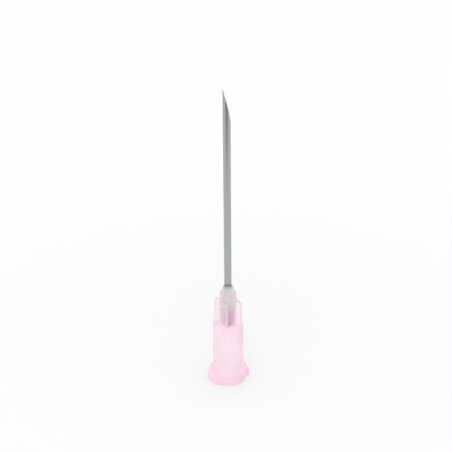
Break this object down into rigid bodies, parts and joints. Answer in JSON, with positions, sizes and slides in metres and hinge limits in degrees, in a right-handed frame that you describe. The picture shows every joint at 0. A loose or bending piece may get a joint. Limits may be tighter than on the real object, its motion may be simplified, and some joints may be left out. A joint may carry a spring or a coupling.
{
  "type": "hypodermic needle",
  "caption": "Hypodermic needle: a thin-wall steel tube with a lancet point, bonded with clear resin into a translucent pink luer lock hub.",
  "frame": {"origin": "centre of the hub's mouth, the face that it stands on", "axes": "+Z along the needle towards its point, X through the two locking lugs"},
  "size_m": [0.0078, 0.0066, 0.0547],
  "materials": {
    "hub_plastic": "translucent pink moulded polypropylene, smooth",
    "steel": "drawn stainless steel with a fine lengthwise grain, bright ground point",
    "clear_resin": "clear cured resin, faintly grey, glossy"
  },
  "bodies": {
    "root": {"hub": "hub_plastic", "cannula": "steel", "adhesive_bead": "clear_resin"}
  },
  "joints": []
}
